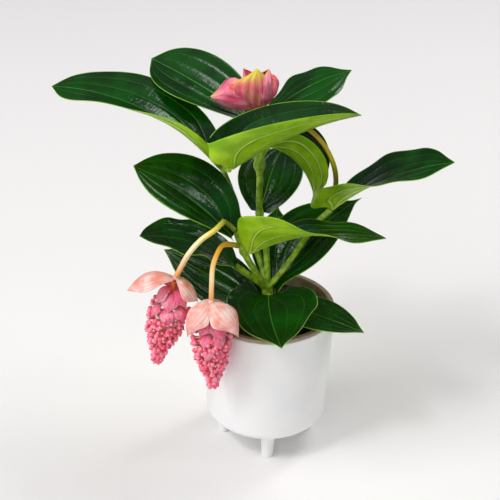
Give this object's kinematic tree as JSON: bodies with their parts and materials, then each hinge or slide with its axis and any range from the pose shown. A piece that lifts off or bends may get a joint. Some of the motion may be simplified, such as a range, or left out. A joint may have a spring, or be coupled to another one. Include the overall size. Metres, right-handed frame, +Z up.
{
  "type": "medinilla plant in a planter",
  "caption": "Potted rose grape with glossy ribbed leaves, arching flower stalks with hanging pink bracts and berries, in a round footed planter.",
  "frame": {"origin": "on the floor, under the middle of the bounding box; the planter's axis stands to the right of it and a little in front", "axes": "+Z up, -Y towards the side with the hanging flower heads, +X to the right seen from that side"},
  "size_m": [0.4885, 0.2557, 0.5018],
  "materials": {
    "leaf": "glossy dark green above, lime green below",
    "stem": "satin green with brown ridges",
    "stalk": "satin yellow to cream",
    "bract": "soft peach pink with fine veins",
    "berry": "satin pink",
    "bud": "soft pink with a yellow-green tip",
    "planter": "matte white",
    "liner": "matte taupe",
    "soil": "dark and crumbly"
  },
  "bodies": {
    "root": {"leaf_far_left": "leaf", "leaf_upper_left": "leaf", "leaf_upper_right": "leaf", "leaf_top": "leaf", "leaf_middle_left": "leaf", "leaf_drooping": "leaf", "leaf_centre": "leaf", "leaf_far_right": "leaf", "leaf_lower_left": "leaf", "leaf_low_left": "leaf", "leaf_front": "leaf", "leaf_front_right": "leaf", "leaf_back_low": "leaf", "leaf_back_right": "leaf", "leaf_back": "leaf", "stems": "stem", "stalk_left": "stalk", "stalk_right": "stalk", "stalk_bud": "stalk", "bracts_left": "bract", "bracts_right": "bract", "panicle_left": "berry", "panicle_right": "berry", "bud": "bud", "planter": "planter", "liner": "liner", "soil": "soil"}
  },
  "joints": []
}
